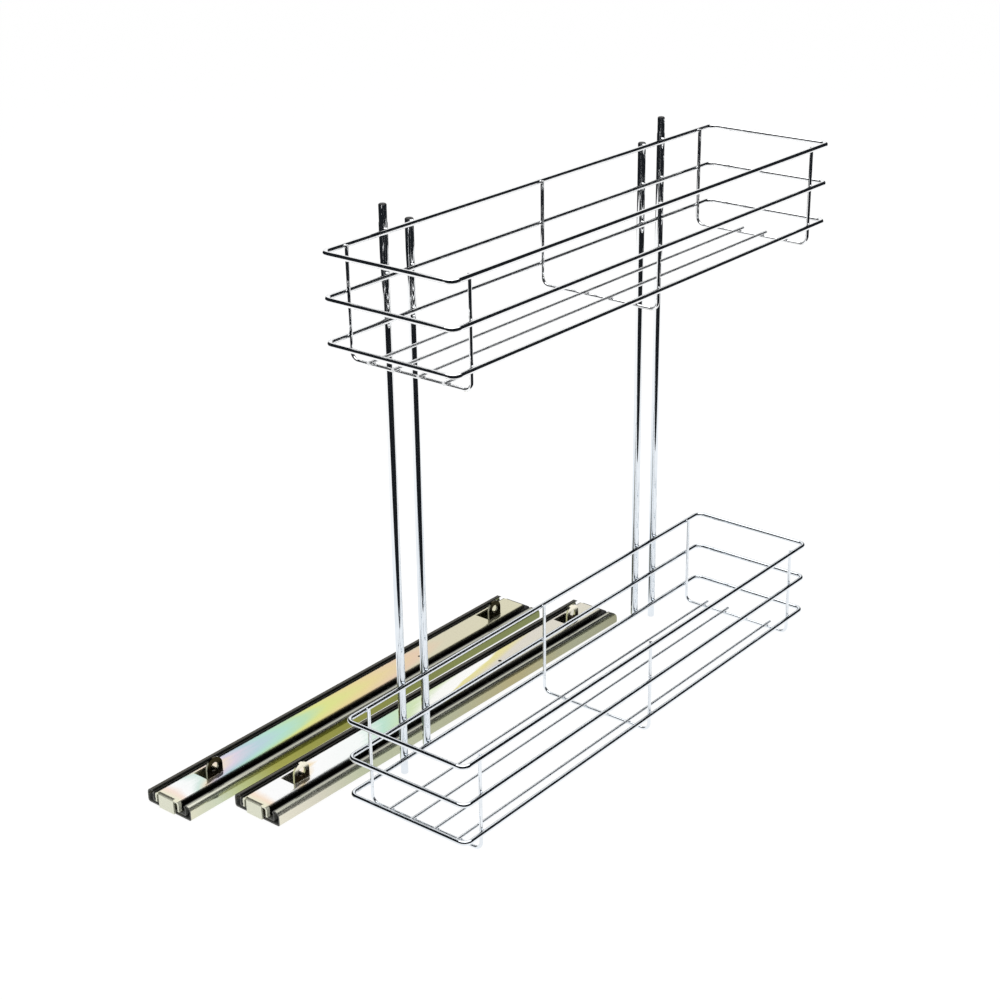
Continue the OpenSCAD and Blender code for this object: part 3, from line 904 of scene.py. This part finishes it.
@dataclass
class Studio:
    """The white floor and background, the soft lamp, the dark cards and the camera.

    Lengths are in metres and angles in degrees.
    """

    floor_size: float = 12.0
    floor_glow: float = 0.92
    paper: Colour = (0.14, 0.14, 0.14)
    lamp_size: float = 1.6
    lamp_height: float = 1.5
    lamp_power: float = 9.0
    world_fill: float = 0.55
    wall_radius: float = 1.3
    wall_height: float = 2.15
    wall_start: float = 162.0
    wall_turn: float = 298.0
    wall_steps: int = 60
    sill_height: float = 0.34
    card_colour: Colour = (0.012, 0.014, 0.017)
    card_half: float = 1.5
    card_gap: float = 0.30
    card_rise: float = 0.0004
    card_direction: tuple[float, float] = (0.889, -0.458)
    sensor: float = 36.0
    clip: tuple[float, float] = (0.05, 50.0)
    focal_pixels: float = 1911.23
    picture_pixels: float = 1000.0
    middle_pixels: tuple[float, float] = (530.54, 522.29)
    azimuth: float = 37.993
    elevation: float = 24.186
    roll: float = -0.44
    eye: Triple = (0.82656, -1.01966, 0.74816)

    def floor(self) -> None:
        """Lays the white floor, which keeps a faint shadow."""
        graph = Graph("white_floor")
        glow = graph.add("ShaderNodeEmission", Strength=self.floor_glow)
        paper = graph.add("ShaderNodeBsdfDiffuse")
        paper.inputs["Color"].default_value = (*self.paper, 1)
        both = graph.add("ShaderNodeAddShader")
        graph.join(glow.outputs["Emission"], both.inputs[0])
        graph.join(paper.outputs["BSDF"], both.inputs[1])
        graph.join(both.outputs["Shader"], graph.out.inputs["Surface"])
        shape = bmesh.new()
        bmesh.ops.create_grid(shape, x_segments=1, y_segments=1, size=self.floor_size / 2)
        self.stand("floor", shape, graph.material)

    def stand(self, name: str, shape: bmesh.types.BMesh,
              material: bpy.types.Material) -> bpy.types.Object:
        """Stands a mesh in the studio, apart from the object.

        Args:
            name: Its name.
            shape: Its mesh.
            material: Its material.

        Returns:
            The new object.
        """
        mesh = bpy.data.meshes.new(name)
        shape.to_mesh(mesh)
        shape.free()
        thing = bpy.data.objects.new(name, mesh)
        bpy.context.scene.collection.objects.link(thing)
        mesh.materials.append(material)
        return thing

    def arc(self, start: float, turn: float, height: float) -> bmesh.types.BMesh:
        """Bends an upright strip round the set.

        Args:
            start: Where it starts, in degrees.
            turn: How far it goes round, in degrees.
            height: Its height.

        Returns:
            The strip's mesh.
        """
        strip = bmesh.new()
        first = Matrix.Rotation(math.radians(start), 3, "Z") @ Vector((self.wall_radius, 0, 0))
        foot = strip.verts.new(first)
        head = strip.verts.new(first + Vector((0, 0, height)))
        edge = strip.edges.new((foot, head))
        bmesh.ops.spin(strip, geom=[foot, head, edge], cent=(0, 0, 0), axis=(0, 0, 1),
                       angle=math.radians(turn), steps=self.wall_steps, use_merge=False,
                       use_duplicate=False)
        return strip

    def cards(self) -> None:
        """Sets the dark cards that give bright metal its dark lines."""
        graph = Graph("dark_card")
        shader = graph.add("ShaderNodeBsdfDiffuse")
        shader.inputs["Color"].default_value = (*self.card_colour, 1)
        graph.join(shader.outputs["BSDF"], graph.out.inputs["Surface"])
        wall = self.arc(self.wall_start, self.wall_turn, self.wall_height)
        sill = self.arc(self.wall_start + self.wall_turn, 360 - self.wall_turn, self.sill_height)
        floor_card = bmesh.new()
        bmesh.ops.create_grid(floor_card, x_segments=1, y_segments=1, size=self.card_half)
        across = Vector((*self.card_direction, 0)).normalized()
        angle = math.atan2(across.y, across.x)
        middle = across * (self.card_gap + self.card_half) + Vector((0, 0, self.card_rise))
        bmesh.ops.transform(floor_card, verts=floor_card.verts,
                            matrix=Matrix.Translation(middle) @ Matrix.Rotation(angle, 4, "Z"))
        for name, shape in (("wall_card", wall), ("sill_card", sill), ("floor_card", floor_card)):
            card = self.stand(name, shape, graph.material)
            card.visible_camera = False
            card.visible_diffuse = False
            card.visible_shadow = False
            card.visible_transmission = False

    def lamp(self) -> None:
        """Hangs the soft lamp over the object."""
        data = bpy.data.lights.new("overhead_softbox", "AREA")
        data.shape = "SQUARE"
        data.size = self.lamp_size
        data.energy = self.lamp_power
        lamp = bpy.data.objects.new("overhead_softbox", data)
        lamp.location = (0, 0, self.lamp_height)
        bpy.context.scene.collection.objects.link(lamp)

    def world(self) -> None:
        """Makes the world white behind the object and a plain fill on it."""
        world = bpy.data.worlds.new("studio")
        bpy.context.scene.world = world
        world.use_nodes = True
        tree = world.node_tree
        tree.nodes.clear()
        path = tree.nodes.new("ShaderNodeLightPath")
        seen = tree.nodes.new("ShaderNodeMath")
        seen.operation = "MAXIMUM"
        tree.links.new(path.outputs["Is Camera Ray"], seen.inputs[0])
        tree.links.new(path.outputs["Is Glossy Ray"], seen.inputs[1])
        through = tree.nodes.new("ShaderNodeMath")
        through.operation = "MAXIMUM"
        tree.links.new(seen.outputs["Value"], through.inputs[0])
        tree.links.new(path.outputs["Is Transmission Ray"], through.inputs[1])
        strength = tree.nodes.new("ShaderNodeMapRange")
        strength.inputs["To Min"].default_value = self.world_fill
        tree.links.new(through.outputs["Value"], strength.inputs["Value"])
        light = tree.nodes.new("ShaderNodeBackground")
        light.inputs["Color"].default_value = (1, 1, 1, 1)
        tree.links.new(strength.outputs["Result"], light.inputs["Strength"])
        out = tree.nodes.new("ShaderNodeOutputWorld")
        tree.links.new(light.outputs["Background"], out.inputs["Surface"])

    def camera(self) -> None:
        """Sets the camera where the photograph's stood."""
        data = bpy.data.cameras.new("camera")
        data.sensor_width = self.sensor
        data.lens = data.sensor_width * self.focal_pixels / self.picture_pixels
        half = self.picture_pixels / 2
        data.shift_x = (half - self.middle_pixels[0]) / self.picture_pixels
        data.shift_y = (self.middle_pixels[1] - half) / self.picture_pixels
        data.clip_start, data.clip_end = self.clip
        turn, tilt, lean = (math.radians(angle) for angle in
                            (self.azimuth, self.elevation, self.roll))
        back = Vector((math.sin(turn) * math.cos(tilt), -math.cos(turn) * math.cos(tilt),
                       math.sin(tilt)))
        right = (-back).cross(Vector((0, 0, 1))).normalized()
        up = back.cross(right)
        level = Matrix((right, up, back)).transposed().to_4x4()
        camera = bpy.data.objects.new("camera", data)
        camera.matrix_world = (Matrix.Translation(self.eye) @ level
                               @ Matrix.Rotation(lean, 4, "Z"))
        bpy.context.scene.collection.objects.link(camera)
        bpy.context.scene.camera = camera

    def build(self) -> None:
        """Builds the whole studio."""
        self.camera()
        self.floor()
        self.cards()
        self.lamp()
        self.world()
        bpy.context.scene.view_settings.view_transform = "Standard"


# Bands of the passivation film: their place as a share of the runner, and their colour. The pure
# white bands in the face films are painted highlights.
LEFT_FACE: Film = (
    (0.000, linear(240, 238, 212)),
    (0.014, linear(250, 228, 214)),
    (0.030, linear(255, 255, 255)),
    (0.050, linear(252, 255, 254)),
    (0.078, linear(214, 234, 226)),
    (0.130, linear(246, 228, 202)),
    (0.180, linear(222, 212, 228)),
    (0.240, linear(186, 212, 222)),
    (0.300, linear(180, 225, 207)),
    (0.360, linear(190, 225, 180)),
    (0.410, linear(222, 228, 140)),
    (0.520, linear(234, 216, 152)),
    (0.660, linear(232, 204, 176)),
    (0.760, linear(218, 212, 184)),
    (1.000, linear(218, 214, 184)),
)
RIGHT_FACE: Film = (
    (0.000, linear(238, 236, 210)),
    (0.012, linear(250, 228, 206)),
    (0.028, linear(255, 255, 255)),
    (0.095, linear(255, 255, 255)),
    (0.130, linear(248, 226, 186)),
    (0.160, linear(255, 255, 255)),
    (0.280, linear(250, 254, 252)),
    (0.340, linear(190, 228, 208)),
    (0.410, linear(210, 228, 182)),
    (0.460, linear(252, 252, 248)),
    (0.560, linear(255, 255, 252)),
    (0.580, linear(232, 224, 154)),
    (0.630, linear(230, 220, 164)),
    (0.690, linear(222, 216, 204)),
    (1.000, linear(222, 218, 200)),
)
LEFT_WALL: Film = (
    (0.00, linear(224, 222, 198)),
    (0.06, linear(206, 214, 188)),
    (0.12, linear(188, 198, 140)),
    (0.22, linear(165, 165, 80)),
    (0.38, linear(146, 146, 66)),
    (0.60, linear(130, 136, 72)),
    (1.00, linear(126, 134, 84)),
)
RIGHT_WALL: Film = (
    (0.00, linear(230, 226, 208)),
    (0.10, linear(214, 210, 192)),
    (0.22, linear(190, 196, 166)),
    (0.45, linear(178, 180, 150)),
    (0.65, linear(178, 168, 124)),
    (0.85, linear(164, 166, 138)),
    (1.00, linear(150, 150, 122)),
)


def main() -> None:
    """Builds the studio, both baskets, the rods and both runners."""
    logging.basicConfig(level=logging.INFO, format="%(name)s: %(message)s")
    Studio().build()
    wire = ChromeFinish("chromed_wire", tint=(0.84, 0.88, 0.92)).build()
    floor_wire = ChromeFinish("chromed_floor_wire", tint=(0.90, 0.93, 0.96),
                              roughness=(0.22, 0.30)).build()
    # The rods get painted shade on the faces that look up.
    rod = ChromeFinish("chromed_rod", tint=(0.80, 0.85, 0.90), shaded_tops=True).build()
    for tier in Tier:
        Basket(tier, wire, floor_wire).build()
    Uprights(rod, wire).build()
    # The cages' dark steel is painted shade of the runners' insides.
    cage = SteelFinish("shaded_zinc_cage", colour=(0.14, 0.14, 0.125), roughness=(0.4, 0.6),
                       grain_scale=500.0).build()
    balls = SteelFinish("ball_steel", colour=(0.30, 0.30, 0.29), roughness=(0.1, 0.2),
                        grain_scale=900.0).build()
    rubber = RubberFinish("buffer_rubber", colour=(0.012, 0.012, 0.013)).build()
    # The lug colours are painted light: painted shade on the left lug, bright painted light on
    # the right one, painted highlights on both front edges.
    Runner(Side.LEFT, LEFT_WALL, LEFT_FACE, lug_light_and_shade=linear(64, 58, 40),
           lug_shade=linear(52, 46, 32), lug_edge_highlight=linear(184, 184, 162), lug_roughness=0.15,
           tilt=0.03, bow=0.08, fan=0.0, cage=cage, balls=balls, rubber=rubber).build()
    Runner(Side.RIGHT, RIGHT_WALL, RIGHT_FACE, lug_light_and_shade=linear(248, 242, 222),
           lug_shade=linear(66, 54, 36), lug_edge_highlight=linear(255, 255, 200), lug_roughness=0.12,
           tilt=0.03, bow=0.02, fan=0.12, cage=cage, balls=balls, rubber=rubber).build()


if __name__ == "__main__":
    main()
